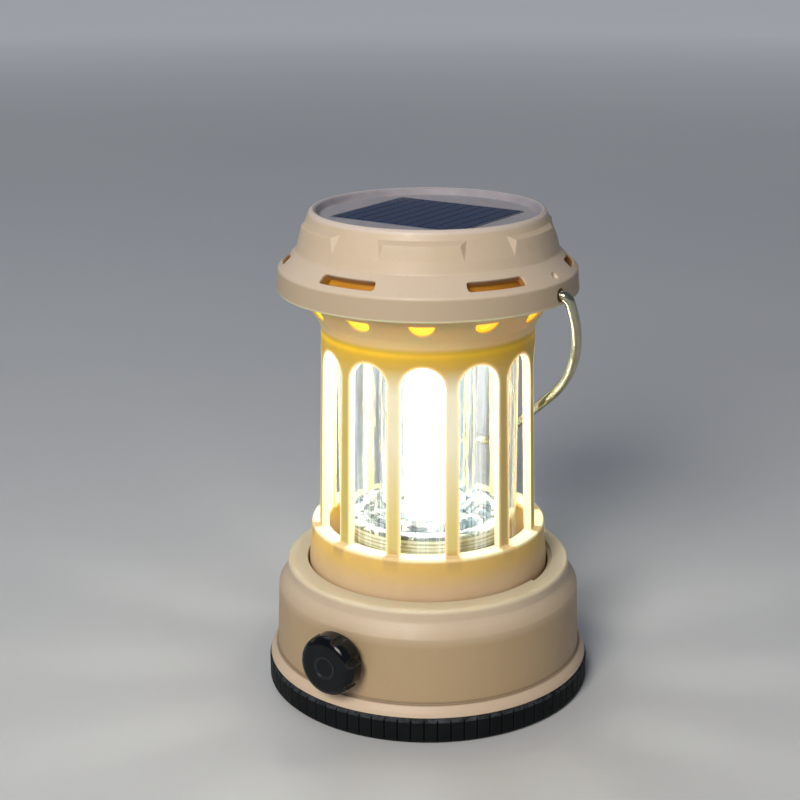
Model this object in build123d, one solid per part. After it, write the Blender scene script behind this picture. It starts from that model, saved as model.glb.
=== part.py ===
from build123d import *

import os
from math import atan2, cos, radians, sin

# Solar camping lantern. Millimetres, +Z up, origin at the centre of the base's underside.
# The control knob faces -Y, the charging port faces +Y, and the bail pivots lie on the X axis.
# Azimuths are in degrees from -Y towards +X.

# Foot ring and base
FOOT_R = 50.2
FOOT_H = 7.9
FOOT_IN_R = 47.7
FOOT_FLANGE_R = 42.5
FOOT_FLANGE_T = 1.0
FOOT_CHAMFER = 1.2
RIB_COUNT = 80
RIB_GROOVE_W = 0.9
RIB_GROOVE_D = 0.8
LIP_R = 49.85
LIP_TOP_Z = 11.3
SKIRT_R = 47.4
BASE_IN_R = 45.1
WALL_LOW = (47.4, 11.8)
WALL_TOP = (46.65, 31.4)
SHOULDER = (43.9, 35.6)
COLLAR_R = 43.8
COLLAR_IN_R = 37.5
COLLAR_Z = 39.4
FLOOR_Z = 30.0
FLOOR_T = 2.0
LEAD_BORE_R = 8.0
NOTCH_DEPTH = 1.2
NOTCH_FLOOR_Z = 38.1
NOTCH_START = 88.0
NOTCH_SPAN = 60.0
PLATE_Z = 1.2
PLATE_T = 3.0
PLATE_R = 44.8
BASE_SCREW_R = 38.0
BASE_SCREW_AZIMUTHS = [45.0, 135.0, 225.0, 315.0]

# Cage
BAND_R = 36.9
BAND_TOP_R = 35.95
BAND_BOTTOM_Z = 32.4
BAND_TAPER_Z = 39.5
BAND_TOP_Z = 51.6
BAR_R_LOW = 33.65
BAR_R_HIGH = 32.05
BAR_TOP_Z = 113.2
BAR_T = 2.4
SLOT_COUNT = 12
SLOT_W = 13.1
SLOT_TOP_Z = 108.5
NECK_R = 38.2
NECK_T = 2.1
NECK_TOP_Z = 133.5
NECK_FLANGE_R = 29.0
NECK_FLANGE_T = 2.0
VENT_R = 3.7
VENT_TOP = (36.9, 121.7)
VENT_RISE = 0.4
VENT_DEPTH = 1.5
NECK_LOW = (33.3, 116.4)
NECK_HIGH = (36.5, 121.0)
CAGE_FLANGE_R = 25.0
CAGE_FLANGE_T = 3.6
CAGE_SCREW_R = 29.0
CAGE_SCREW_AZIMUTHS = [30.0, 150.0, 270.0]
CAP_SCREW_R = 32.5
CAP_SCREW_AZIMUTHS = [90.0, 210.0, 330.0]

# Cap
SKIRT_TOP = (44.4, 131.5)
SKIRT_BOTTOM = (44.95, 124.8)
CREASE = (38.9, 136.8)
CONE_FOOT = (38.1, 140.3)
RIM_OUT = (34.95, 147.9)
RIM_TOP = (34.1, 148.6)
RIM_IN = (33.0, 148.2)
DISH_R = 31.9
DISH_Z = 146.5
CAP_WALL = 2.0
PANEL_AZIMUTHS = [30.0 + 60.0 * k for k in range(6)]
PANEL_TOP = (37.5, 144.5)
PANEL_LEDGE = (36.0, 145.6)
PANEL_TOP_HALF_ARC = 16.3
PANEL_LEDGE_HALF_ARC = 19.5
PANEL_FOOT_HALF_ARC = 17.9
BRIM_SLOT_AZIMUTHS = [60.0 * k for k in range(6)]
BRIM_SLOT_MID = (41.8, 133.95)
BRIM_SLOT_W = 3.3
BRIM_SLOT_ARC = 25.0
BRIM_DIMPLE = (42.6, 133.2)
BRIM_DIMPLE_R = 1.2
PIVOT_Z = 127.8
PIVOT_BOSS_R = 2.5
PIVOT_BOSS_IN = 41.0

# Bail
WIRE_R = 1.5
WIRE_FIT = 0.06
BAIL_LEG_X = 47.0
BAIL_END_X = 39.5
BAIL_BEND_R = 2.4
BAIL_BOW_R = 60.0
BAIL_BOW_S = 27.85
BAIL_APEX_S = 74.85
BAIL_APEX_R = 4.5
BAIL_TILT = 32.0

# Solar panel
SOLAR_X = 44.0
SOLAR_Y = 37.4
SOLAR_T = 0.75
SOLAR_GAP = 0.05
SOLAR_SEAT_Z = 145.8
SOLAR_SEAT_MARGIN = 0.25
CELL_COUNT = 10
CELL_PITCH = 4.2
CELL_W = 3.9
CELL_L = 36.4
CELL_T = 0.15

# Lamp
COVER_R = 27.4
COVER_IN_R = 25.0
COVER_TOP_Z = 130.5
GUIDE_R = 15.0
GUIDE_IN_R = 12.0
COLUMN_R = 7.0
COLUMN_IN_R = 5.8
PEDESTAL_R = 24.7
PEDESTAL_Z = 54.5
PEDESTAL_FOOT_Z = 36.1
PEDESTAL_FOOT_R = 33.4
PEDESTAL_BORE_R = 5.6
REFLECTOR_Z = 129.6
STRIP_W = 8.0
STRIP_T = 1.2
STRIP_Z = (58.0, 124.0)
CHIP_COUNT = 10
CHIP = (3.5, 0.7, 2.8)
LEAD_R = 0.5
LEAD_X = 4.9

# Control knob and potentiometer, on an axis along -Y
KNOB_Z = 22.7
KNOB_BACK_Y = -49.5
KNOB_R = 9.15
KNOB_DEPTH = 6.2
KNOB_SHOULDER_R = 2.6
KNOB_SKIRT_IN_R = 7.2
KNOB_COLLAR_R = 7.9
KNOB_COLLAR_H = 1.7
KNOB_HUB_R = 4.8
KNOB_NOTCHES = 7
KNOB_NOTCH_START = 20.0
KNOB_NOTCH_R = 1.3
KNOB_NOTCH_PITCH_R = 9.5
SHAFT_R = 3.0
BUSH_R = 3.5
RUN_FIT = 0.05
POT_R = 6.8
POT_DEPTH = 8.3
PAD_FACE_Y = -44.3
SPOT_FACE_Y = -46.5
SPOT_FACE_R = 6.6
PAD_HALF_W = 9.5
PAD_Z = (13.5, 30.5)

# Charging port, on an axis along +Y
PORT_Z = 16.6
PORT_HOLE = (9.4, 3.7)
SOCKET = (8.94, 7.3, 3.2)
SOCKET_MOUTH_Y = 44.0
POCKET_HALF_W = 8.0
POCKET_Z = (12.0, 25.0)
POCKET_FLOOR_Y = 45.0
FLAP_HALF_W = 7.6
FLAP_Z = (12.4, 22.0)
FLAP_R = 46.9
HINGE_Y = 45.5
HINGE_Z = 22.9
KNUCKLE_R = 1.0
KNUCKLE_HALF_W = 5.0
PIN_R = 0.5
PIN_HALF_L = 8.6
LIGHT_PIPE_X = 15.0
LIGHT_PIPE_R = 1.5

# Electronics in the base
BOARD = (36.0, 25.5, 1.6)
BOARD_Y = 27.75
BOARD_TOP_Z = 15.0
BOARD_SCREWS = [(-15.0, 17.5), (15.0, 17.5), (-11.0, 37.0), (11.0, 37.0)]
BATTERY_R = 9.1
BATTERY_L = 65.0
BATTERY_Y = -6.1
BATTERY_Z = 15.0

UP_MIN = (Align.CENTER, Align.CENTER, Align.MIN)


def profile(points):
    """Face in the XZ plane from (radius, height) points, each with an optional corner radius."""
    flat = [(p[0], p[1]) for p in points]
    corners = [p[2] if len(p) > 2 else 0 for p in points]
    return Plane.XZ * make_face(FilletPolyline(*flat, radius=corners, close=True))


def turned(points, arc=360):
    """Solid of revolution about +Z."""
    return revolve(profile(points), Axis.Z, arc)


def rod(start, direction, radius, length):
    """Cylinder from a point along a direction."""
    return Plane(origin=start, z_dir=direction) * Cylinder(radius, length, align=UP_MIN)


def block(x, y, z):
    """Box from its (low, high) extents."""
    size = [high - low for low, high in (x, y, z)]
    middle = [(high + low) / 2 for low, high in (x, y, z)]
    return Pos(*middle) * Box(*size)


def polar(radius, azimuth, z=0.0):
    """Point at an azimuth from -Y towards +X."""
    return (radius * sin(radians(azimuth)), -radius * cos(radians(azimuth)), z)


def facing(azimuth, point=(0.0, 0.0), normal=(1.0, 0.0)):
    """Plane through a (radius, height) point whose local +Z leans along a (radius, height) normal."""
    out_x, out_y, _ = polar(1.0, azimuth)
    lean = (normal[0] * out_x, normal[0] * out_y, normal[1])
    return Plane(origin=polar(point[0], azimuth, point[1]), x_dir=(-out_y, out_x, 0), z_dir=lean)


def screw(point, direction, head_r, head_h, shank_r, shank_l):
    """Pan-head screw: point is under the head, direction is the way the shank goes."""
    place = Plane(origin=point, z_dir=direction)
    head = Pos(0, 0, -head_h) * Cylinder(head_r, head_h, align=UP_MIN)
    head = fillet(head.edges().group_by(Axis.Z)[0], 0.35 * head_h)
    arm = Box(1.1 * head_r, 0.3 * head_r, 0.8 * head_h)
    recess = Pos(0, 0, -head_h) * (arm + Rot(0, 0, 90) * arm)
    return place * (head + Cylinder(shank_r, shank_l, align=UP_MIN) - recess)


def group(solids):
    """Several separate solids as one node."""
    return Compound(children=list(solids))


# ---------------------------------------------------------------- base

def foot_ring():
    """Rubber ring with an outer tread of upright blocks, chamfered along the top."""
    body = turned([
        (FOOT_FLANGE_R, 0.0, 0.3),
        (FOOT_R - 0.9, 0.0),
        (FOOT_R, 0.9),
        (FOOT_R, FOOT_H - FOOT_CHAMFER),
        (FOOT_R - FOOT_CHAMFER, FOOT_H),
        (FOOT_IN_R, FOOT_H),
        (FOOT_IN_R, FOOT_FLANGE_T),
        (FOOT_FLANGE_R, FOOT_FLANGE_T),
    ])
    half = RIB_GROOVE_W / 2
    outer = FOOT_R + 0.5
    wedge = make_face(Polyline((FOOT_R - RIB_GROOVE_D, 0), (outer, half), (outer, -half), close=True))
    groove = extrude(wedge, FOOT_H)
    return body - [place * groove for place in PolarLocations(0, RIB_COUNT)]


def base_shell():
    """Outer wall with the rounded bead at its foot, sloped shoulder, collar and inner floor."""
    channel_r = COLLAR_IN_R + 1.8
    return turned([
        (BASE_IN_R, PLATE_Z),
        (SKIRT_R, PLATE_Z),
        (SKIRT_R, FOOT_H + 0.1),
        (LIP_R, FOOT_H + 0.1, 0.2),
        (LIP_R - 0.5, FOOT_H + 1.6, 1.0),
        (LIP_R - 1.9, LIP_TOP_Z, 0.6),
        (WALL_LOW[0] + 0.1, LIP_TOP_Z, 0.15),
        (*WALL_TOP, 1.2),
        (*SHOULDER, 1.3),
        (COLLAR_R, COLLAR_Z - 0.2, 1.1),
        (COLLAR_IN_R, COLLAR_Z, 0.4),
        (COLLAR_IN_R, FLOOR_Z + FLOOR_T),
        (LEAD_BORE_R, FLOOR_Z + FLOOR_T),
        (LEAD_BORE_R, FLOOR_Z),
        (channel_r, FLOOR_Z),
        (channel_r, 37.3, 0.5),
        (41.8, 37.3, 0.5),
        (41.8, 35.0, 1.0),
        (BASE_IN_R, 30.6, 1.5),
    ])


def collar_notch():
    """Shallow step in the collar's inner edge, from one side round towards the back."""
    ring = turned([
        (COLLAR_IN_R - 1.0, NOTCH_FLOOR_Z),
        (COLLAR_IN_R + NOTCH_DEPTH, NOTCH_FLOOR_Z, 0.3),
        (COLLAR_IN_R + NOTCH_DEPTH, COLLAR_Z + 1.0),
        (COLLAR_IN_R - 1.0, COLLAR_Z + 1.0),
    ], NOTCH_SPAN)
    return Rot(0, 0, NOTCH_START - 90) * ring


def port_pad():
    """Thick wall round the charging port, trimmed to stay inside the outer wall."""
    return block((-11, 11), (42.6, 45.6), (10, 28))


def port_cuts():
    """Flap pocket, hinge trough, socket hole, hinge pin holes and light-pipe hole."""
    half_hole = PORT_HOLE[1] / 2
    pocket = block((-POCKET_HALF_W, POCKET_HALF_W), (POCKET_FLOOR_Y, 52), POCKET_Z)
    trough = block((-POCKET_HALF_W, POCKET_HALF_W), (44.2, 52), (21.9, POCKET_Z[1]))
    hole = Plane(origin=(0, 40, PORT_Z), x_dir=(-1, 0, 0), z_dir=(0, 1, 0)) * extrude(
        RectangleRounded(*PORT_HOLE, half_hole - 0.3), 10
    )
    pin = rod((-PIN_HALF_L, HINGE_Y, HINGE_Z), (1, 0, 0), PIN_R, 2 * PIN_HALF_L)
    pipe = rod((LIGHT_PIPE_X, 40, PORT_Z), (0, 1, 0), LIGHT_PIPE_R + 0.02, 10)
    return pocket + trough + hole + pin + pipe


def base_housing():
    """Base housing with screw bosses, the knob's flat pad, the port and the collar notch."""
    body = base_shell()
    plate_top = PLATE_Z + PLATE_T
    for azimuth in BASE_SCREW_AZIMUTHS:
        body += rod(polar(BASE_SCREW_R, azimuth, plate_top), (0, 0, 1), 3.5, FLOOR_Z + 1 - plate_top)
    body += block((-PAD_HALF_W, PAD_HALF_W), (-45.7, PAD_FACE_Y), PAD_Z)
    body += port_pad()
    for azimuth in BASE_SCREW_AZIMUTHS:
        body -= rod(polar(BASE_SCREW_R, azimuth, plate_top), (0, 0, 1), 1.5, 12)
    for azimuth in CAGE_SCREW_AZIMUTHS:
        body -= rod(polar(CAGE_SCREW_R, azimuth, FLOOR_Z - 1), (0, 0, 1), 1.7, FLOOR_T + 2)
    body -= rod((0, -40, KNOB_Z), (0, -1, 0), BUSH_R + RUN_FIT, 12)
    body -= rod((0, SPOT_FACE_Y, KNOB_Z), (0, -1, 0), SPOT_FACE_R, 5)
    return body - collar_notch() - port_cuts()


def base_plate():
    """Bottom cover with counterbored screw holes, a stepped centre and board standoffs."""
    top = PLATE_Z + PLATE_T
    plate = turned([
        (0, PLATE_Z + 0.6),
        (30, PLATE_Z + 0.6),
        (31, PLATE_Z),
        (PLATE_R, PLATE_Z, 0.4),
        (PLATE_R, top),
        (0, top),
    ])
    for azimuth in BASE_SCREW_AZIMUTHS:
        point = polar(BASE_SCREW_R, azimuth, PLATE_Z - 1)
        plate -= rod(point, (0, 0, 1), 3.0, 3.0)
        plate -= rod(point, (0, 0, 1), 1.7, 6.0)
    standoff_h = BOARD_TOP_Z - BOARD[2] - top
    for x, y in BOARD_SCREWS:
        plate += rod((x, y, top), (0, 0, 1), 2.4, standoff_h)
    for x, y in BOARD_SCREWS:
        plate -= rod((x, y, top + 3), (0, 0, 1), 0.95, standoff_h)
    return plate


def base_screws():
    """Four pan-head screws that hold the base plate."""
    return group(
        screw(polar(BASE_SCREW_R, a, PLATE_Z + 2.0), (0, 0, 1), 2.7, 1.7, 1.45, 10)
        for a in BASE_SCREW_AZIMUTHS
    )


def cage_screws():
    """Three screws up through the base floor into the cage's lower flange."""
    return group(
        screw(polar(CAGE_SCREW_R, a, FLOOR_Z), (0, 0, 1), 2.7, 1.8, 1.25, 5.6)
        for a in CAGE_SCREW_AZIMUTHS
    )


# ---------------------------------------------------------------- cage

def cage_body():
    """Lower cup, slightly tapered cylinder, flared neck and upper flange, before its openings."""
    flange_z = NECK_TOP_Z - NECK_FLANGE_T
    inner_low = BAR_R_LOW - BAR_T
    inner_high = BAR_R_HIGH - BAR_T
    neck_in = NECK_R - NECK_T
    cup_in = BAND_TOP_R - 1.7
    return turned([
        (CAGE_FLANGE_R, BAND_BOTTOM_Z),
        (BAND_R, BAND_BOTTOM_Z, 0.4),
        (BAND_R, BAND_TAPER_Z, 8.0),
        (BAND_TOP_R, BAND_TOP_Z, 0.45),
        (BAR_R_LOW, BAND_TOP_Z, 0.3),
        (BAR_R_HIGH, BAR_TOP_Z, 2.0),
        (*NECK_LOW, 4.0),
        (*NECK_HIGH, 4.0),
        (NECK_R, 123.8, 1.5),
        (NECK_R, NECK_TOP_Z, 0.4),
        (NECK_FLANGE_R, NECK_TOP_Z),
        (NECK_FLANGE_R, flange_z),
        (neck_in, flange_z, 0.5),
        (neck_in, 124.6, 2.0),
        (30.9, 116.9, 4.0),
        (inner_high, 113.6, 2.0),
        (inner_low, 49.6, 0.4),
        (cup_in, 49.6, 0.6),
        (cup_in, BAND_BOTTOM_Z + CAGE_FLANGE_T),
        (CAGE_FLANGE_R, BAND_BOTTOM_Z + CAGE_FLANGE_T),
    ])


def cage_slot():
    """Cutter for one tall window: square at the band, round at the top."""
    half = SLOT_W / 2
    straight = SLOT_TOP_Z - half - BAND_TOP_Z
    shape = Pos(0, BAND_TOP_Z + straight / 2) * Rectangle(SLOT_W, straight)
    shape += Pos(0, SLOT_TOP_Z - half) * Circle(half)
    return Pos(0, 0, 20) * extrude(shape, 20)


def vent_pocket():
    """Cutter for one half-round pocket with a straight upper edge, square to the neck's slope."""
    disc = Pos(0, -VENT_RISE) * Circle(VENT_R)
    below = Pos(0, -VENT_R) * Rectangle(4 * VENT_R, 2 * VENT_R)
    shape = fillet((disc & below).vertices(), 0.5)
    return Pos(0, 0, -VENT_DEPTH) * extrude(shape, VENT_DEPTH + 5)


def cage():
    """Slotted cage with twelve windows and, above each, a closed vent pocket in the flared neck."""
    body = cage_body()
    azimuths = [360.0 / SLOT_COUNT * k for k in range(SLOT_COUNT)]
    slot = cage_slot()
    for azimuth in azimuths:
        body -= facing(azimuth) * slot
    pocket = vent_pocket()
    slope = (NECK_HIGH[1] - NECK_LOW[1], NECK_LOW[0] - NECK_HIGH[0])
    for azimuth in azimuths:
        body -= facing(azimuth, VENT_TOP, slope) * pocket
    for azimuth in CAP_SCREW_AZIMUTHS:
        body -= rod(polar(CAP_SCREW_R, azimuth, NECK_TOP_Z - 4), (0, 0, 1), 1.3, 6)
    for azimuth in CAGE_SCREW_AZIMUTHS:
        body -= rod(polar(CAGE_SCREW_R, azimuth, BAND_BOTTOM_Z - 1), (0, 0, 1), 1.3, 6)
    return body


# ---------------------------------------------------------------- cap

def cap_body():
    """Dish, rounded rim, cone, drum, sloped brim and skirt, with an even wall."""
    return turned([
        (0, DISH_Z),
        (DISH_R, DISH_Z, 0.6),
        (*RIM_IN, 0.4),
        (*RIM_TOP, 0.5),
        (*RIM_OUT, 0.5),
        (*CONE_FOOT, 0.8),
        (*CREASE, 0.8),
        (*SKIRT_TOP, 0.9),
        (*SKIRT_BOTTOM, 0.5),
        (SKIRT_BOTTOM[0] - CAP_WALL, SKIRT_BOTTOM[1], 0.4),
        (SKIRT_TOP[0] - CAP_WALL, 130.2, 0.9),
        (CREASE[0] - 1.8, CREASE[1] - 1.3, 1.2),
        (CONE_FOOT[0] - 1.8, CONE_FOOT[1] - 0.2, 1.0),
        (34.4, DISH_Z - CAP_WALL, 0.8),
        (0, DISH_Z - CAP_WALL),
    ])


def cap_panel():
    """One raised panel at azimuth 0: the drum carried up to a sloping ledge, with leaning ends."""
    panel = Rot(0, 0, -90 - 30) * turned([
        (CONE_FOOT[0] - 0.8, CONE_FOOT[1] - 0.3),
        (CONE_FOOT[0] + 0.03, CONE_FOOT[1] - 0.3),
        (*PANEL_TOP, 0.4),
        PANEL_LEDGE,
        (PANEL_LEDGE[0] - 0.6, PANEL_LEDGE[1] - 0.2),
    ], 60)
    for side in (-1, 1):
        top = Vector(*polar(PANEL_TOP[0], side * PANEL_TOP_HALF_ARC, PANEL_TOP[1]))
        ledge = Vector(*polar(PANEL_LEDGE[0], side * PANEL_LEDGE_HALF_ARC, PANEL_LEDGE[1]))
        foot = Vector(*polar(CONE_FOOT[0], side * PANEL_FOOT_HALF_ARC, CONE_FOOT[1]))
        outward = (foot - top).cross(ledge - top) * side
        panel = split(panel, bisect_by=Plane(origin=top, z_dir=outward), keep=Keep.BOTTOM)
    return panel


def brim_slot():
    """Cutter for one curved slot, square to the brim's slope, with rounded corners."""
    run = SKIRT_TOP[0] - CREASE[0]
    drop = SKIRT_TOP[1] - CREASE[1]
    slope = atan2(drop, run)
    along = (cos(slope), sin(slope))
    normal = (-along[1], along[0])
    corners = []
    for side, depth in ((-1, -4.0), (1, -4.0), (1, 2.5), (-1, 2.5)):
        shift = side * BRIM_SLOT_W / 2
        corners.append((
            BRIM_SLOT_MID[0] + shift * along[0] + depth * normal[0],
            BRIM_SLOT_MID[1] + shift * along[1] + depth * normal[1],
        ))
    cutter = Rot(0, 0, -BRIM_SLOT_ARC / 2) * turned(corners, BRIM_SLOT_ARC)
    ends = [e for e in cutter.edges() if e.geom_type == GeomType.LINE and e.length > BRIM_SLOT_W + 1]
    return fillet(ends, 1.0)


def cap_cover():
    """Cap with raised panels, vent slots, solar seat, screw bosses and bail pivot bosses."""
    body = cap_body()
    panel = cap_panel()
    for azimuth in PANEL_AZIMUTHS:
        body += Rot(0, 0, azimuth) * panel
    for azimuth in CAP_SCREW_AZIMUTHS:
        foot = polar(CAP_SCREW_R, azimuth, NECK_TOP_Z + 0.1)
        body += rod(foot, (0, 0, 1), 3.0, DISH_Z - CAP_WALL + 0.3 - foot[2])
    for side in (-1, 1):
        body += rod((side * PIVOT_BOSS_IN, 0, PIVOT_Z), (side, 0, 0), PIVOT_BOSS_R, 2.6)
    slot = brim_slot()
    for azimuth in BRIM_SLOT_AZIMUTHS:
        body -= Rot(0, 0, azimuth - 90) * slot
    for azimuth in CAP_SCREW_AZIMUTHS:
        body -= rod(polar(CAP_SCREW_R, azimuth, NECK_TOP_Z), (0, 0, 1), 1.05, 6.5)
    for side in (-1, 1):
        body -= rod((side * 38, 0, PIVOT_Z), (side, 0, 0), WIRE_R + WIRE_FIT, 10)
        body -= rod((side * 43.7, 0, PIVOT_Z), (side, 0, 0), 2.1, 3)
        body -= Pos(side * BRIM_DIMPLE[0], 0, BRIM_DIMPLE[1]) * Sphere(BRIM_DIMPLE_R)
    half_x = SOLAR_X / 2 + SOLAR_SEAT_MARGIN
    half_y = SOLAR_Y / 2 + SOLAR_SEAT_MARGIN
    body -= block((-half_x, half_x), (-half_y, half_y), (SOLAR_SEAT_Z, DISH_Z + 1))
    return body - rod((0, 0, DISH_Z - 4), (0, 0, 1), 6.0, 6)


def cap_screws():
    """Three screws up through the cage's upper flange into the cap's bosses."""
    flange_z = NECK_TOP_Z - NECK_FLANGE_T
    return group(
        screw(polar(CAP_SCREW_R, a, flange_z), (0, 0, 1), 2.1, 1.6, 1.0, 7.5)
        for a in CAP_SCREW_AZIMUTHS
    )


def solar_panel():
    """Laminated carrier board of the solar panel."""
    low = SOLAR_SEAT_Z + SOLAR_GAP
    board = Pos(0, 0, low) * Box(SOLAR_X, SOLAR_Y, SOLAR_T, align=UP_MIN)
    return fillet(board.edges().filter_by(Axis.Z), 0.5)


def solar_cells():
    """Narrow silicon strips side by side on the carrier."""
    low = SOLAR_SEAT_Z + SOLAR_GAP + SOLAR_T
    first = -CELL_PITCH * (CELL_COUNT - 1) / 2
    return group(
        Pos(first + CELL_PITCH * k, 0, low) * Box(CELL_W, CELL_L, CELL_T, align=UP_MIN)
        for k in range(CELL_COUNT)
    )


# ---------------------------------------------------------------- lamp

def lamp_pedestal():
    """White drum under the lamp: foot flange, two grooves and a recessed top."""
    return turned([
        (PEDESTAL_BORE_R, PEDESTAL_FOOT_Z),
        (PEDESTAL_FOOT_R, PEDESTAL_FOOT_Z),
        (PEDESTAL_FOOT_R, PEDESTAL_FOOT_Z + 2, 0.5),
        (PEDESTAL_R, PEDESTAL_FOOT_Z + 2),
        (PEDESTAL_R, 48.5),
        (PEDESTAL_R - 0.9, 48.5),
        (PEDESTAL_R - 0.9, 49.3),
        (PEDESTAL_R, 49.3),
        (PEDESTAL_R, 51.4),
        (PEDESTAL_R - 0.6, 51.7),
        (PEDESTAL_R, 52.0),
        (PEDESTAL_R, PEDESTAL_Z, 0.6),
        (21.6, PEDESTAL_Z, 0.3),
        (21.2, PEDESTAL_Z - 0.8),
        (PEDESTAL_BORE_R, PEDESTAL_Z - 0.8),
    ])


def lamp_cover():
    """Clear outer cylinder, standing on the pedestal's foot and seated in the top reflector."""
    return turned([
        (COVER_IN_R, PEDESTAL_FOOT_Z + 2.1),
        (COVER_R, PEDESTAL_FOOT_Z + 2.1),
        (COVER_R, COVER_TOP_Z),
        (COVER_IN_R, COVER_TOP_Z),
    ])


def light_guide():
    """Clear thick inner tube with a flared foot on the pedestal."""
    foot_z = PEDESTAL_Z - 0.8
    return turned([
        (GUIDE_IN_R, foot_z),
        (20.0, foot_z, 0.4),
        (20.0, foot_z + 1.6, 0.8),
        (16.4, foot_z + 3.0, 2.0),
        (GUIDE_R, 61.0, 4.0),
        (GUIDE_R, REFLECTOR_Z - 1.6, 0.5),
        (GUIDE_IN_R, REFLECTOR_Z - 1.6, 0.5),
    ])


def diffuser_column():
    """Frosted tube round the light strip."""
    return turned([
        (COLUMN_IN_R, PEDESTAL_Z - 0.8),
        (COLUMN_R, PEDESTAL_Z - 0.8),
        (COLUMN_R, REFLECTOR_Z - 0.1),
        (COLUMN_IN_R, REFLECTOR_Z - 0.1),
    ])


def led_strip():
    """Narrow upright circuit board inside the column."""
    return block((-STRIP_W / 2, STRIP_W / 2), (-STRIP_T / 2, STRIP_T / 2), STRIP_Z)


def led_chips():
    """Light-emitting chips on both faces of the strip."""
    low, high = STRIP_Z
    step = (high - low) / CHIP_COUNT
    chips = []
    for k in range(CHIP_COUNT):
        z = low + step * (k + 0.5)
        for side in (-1, 1):
            chips.append(Pos(0, side * (STRIP_T + CHIP[1]) / 2, z) * Box(*CHIP))
    return group(chips)


def top_reflector():
    """White disc that closes the lamp, with a groove for the cover and a spigot in the flange."""
    flange_z = NECK_TOP_Z - NECK_FLANGE_T
    return turned([
        (COLUMN_IN_R, REFLECTOR_Z),
        (COVER_IN_R - 0.1, REFLECTOR_Z),
        (COVER_IN_R - 0.1, COVER_TOP_Z + 0.1),
        (COVER_R + 0.1, COVER_TOP_Z + 0.1),
        (COVER_R + 0.1, REFLECTOR_Z),
        (NECK_FLANGE_R + 1.0, REFLECTOR_Z),
        (NECK_FLANGE_R + 1.0, flange_z),
        (NECK_FLANGE_R - 0.3, flange_z),
        (NECK_FLANGE_R - 0.3, NECK_TOP_Z),
        (COLUMN_IN_R, NECK_TOP_Z),
    ])


def solar_leads():
    """Two wires from the solar panel down through the column to the main board."""
    leads = []
    for side in (-1, 1):
        x = side * LEAD_X
        path = FilletPolyline(
            (x, 0, SOLAR_SEAT_Z), (x, 0, 27.6), (x, 18.5, 27.6), (x, 18.5, BOARD_TOP_Z),
            radius=[5.0, 5.0],
        )
        leads.append(sweep(Plane(origin=path @ 0, z_dir=path % 0) * Circle(LEAD_R), path))
    return group(leads)


# ---------------------------------------------------------------- bail

def bail_handle():
    """Bent wire handle: two short pivot ends, bowed legs and a tight apex for a hook."""
    tilt = radians(BAIL_TILT)
    plane = Plane(origin=(0, 0, PIVOT_Z), x_dir=(1, 0, 0), z_dir=(0, cos(tilt), sin(tilt)))
    path = plane * FilletPolyline(
        (-BAIL_END_X, 0),
        (-BAIL_LEG_X, 0),
        (-BAIL_LEG_X, BAIL_BOW_S),
        (0, BAIL_APEX_S),
        (BAIL_LEG_X, BAIL_BOW_S),
        (BAIL_LEG_X, 0),
        (BAIL_END_X, 0),
        radius=[BAIL_BEND_R, BAIL_BOW_R, BAIL_APEX_R, BAIL_BOW_R, BAIL_BEND_R],
    )
    return sweep(Plane(origin=path @ 0, z_dir=path % 0) * Circle(WIRE_R), path)


def bail_retainers():
    """Push-on collars that keep the wire ends inside the skirt."""
    collars = []
    for side in (-1, 1):
        start = (side * (BAIL_END_X + 0.4), 0, PIVOT_Z)
        collar = rod(start, (side, 0, 0), 2.6, 0.8) - rod(start, (side, 0, 0), WIRE_R, 0.8)
        collars.append(collar)
    return group(collars)


# ---------------------------------------------------------------- control knob

def knob_place():
    """Plane at the knob's back whose local +Z points out of the lantern."""
    return Plane(origin=(0, KNOB_BACK_Y, KNOB_Z), x_dir=(1, 0, 0), z_dir=(0, -1, 0))


def control_knob():
    """Hollow knob: seven broad lobes, rounded shoulder, shallow centre recess and a back collar."""
    front = KNOB_DEPTH
    body = turned([
        (0, front - 0.4),
        (3.0, front - 0.4, 0.15),
        (3.3, front, 0.2),
        (KNOB_R, front, KNOB_SHOULDER_R),
        (KNOB_R, 0, 0.3),
        (KNOB_COLLAR_R, 0),
        (KNOB_COLLAR_R, -KNOB_COLLAR_H, 0.2),
        (KNOB_SKIRT_IN_R, -KNOB_COLLAR_H),
        (KNOB_SKIRT_IN_R, 3.6),
        (KNOB_HUB_R, 3.6),
        (KNOB_HUB_R, 1.2),
        (SHAFT_R, 1.2),
        (SHAFT_R, 4.2),
        (0, 4.2),
    ])
    for k in range(KNOB_NOTCHES):
        angle = radians(90 - KNOB_NOTCH_START - 360.0 / KNOB_NOTCHES * k)
        centre = (KNOB_NOTCH_PITCH_R * cos(angle), KNOB_NOTCH_PITCH_R * sin(angle), -0.5)
        body -= rod(centre, (0, 0, 1), KNOB_NOTCH_R, KNOB_DEPTH + 2)
    return knob_place() * body


def pot_shaft():
    """Potentiometer shaft that carries the knob."""
    return rod((0, -38.5, KNOB_Z), (0, -1, 0), SHAFT_R, 15.1)


def pot_body():
    """Potentiometer can with its threaded bush and three solder tags."""
    can = rod((0, PAD_FACE_Y, KNOB_Z), (0, 1, 0), POT_R, POT_DEPTH)
    bush = rod((0, PAD_FACE_Y, KNOB_Z), (0, -1, 0), BUSH_R, 5.9)
    body = can + bush
    for x in (-4.0, 0.0, 4.0):
        body += block((x - 0.6, x + 0.6), (-38.6, -38.2), (11.5, KNOB_Z - 4))
    return body - rod((0, -38.0, KNOB_Z), (0, -1, 0), SHAFT_R + RUN_FIT, 20)


def pot_washer():
    """Flat washer on the spot face."""
    start = (0, SPOT_FACE_Y, KNOB_Z)
    return rod(start, (0, -1, 0), 6.0, 0.5) - rod(start, (0, -1, 0), BUSH_R + RUN_FIT, 0.5)


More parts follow.
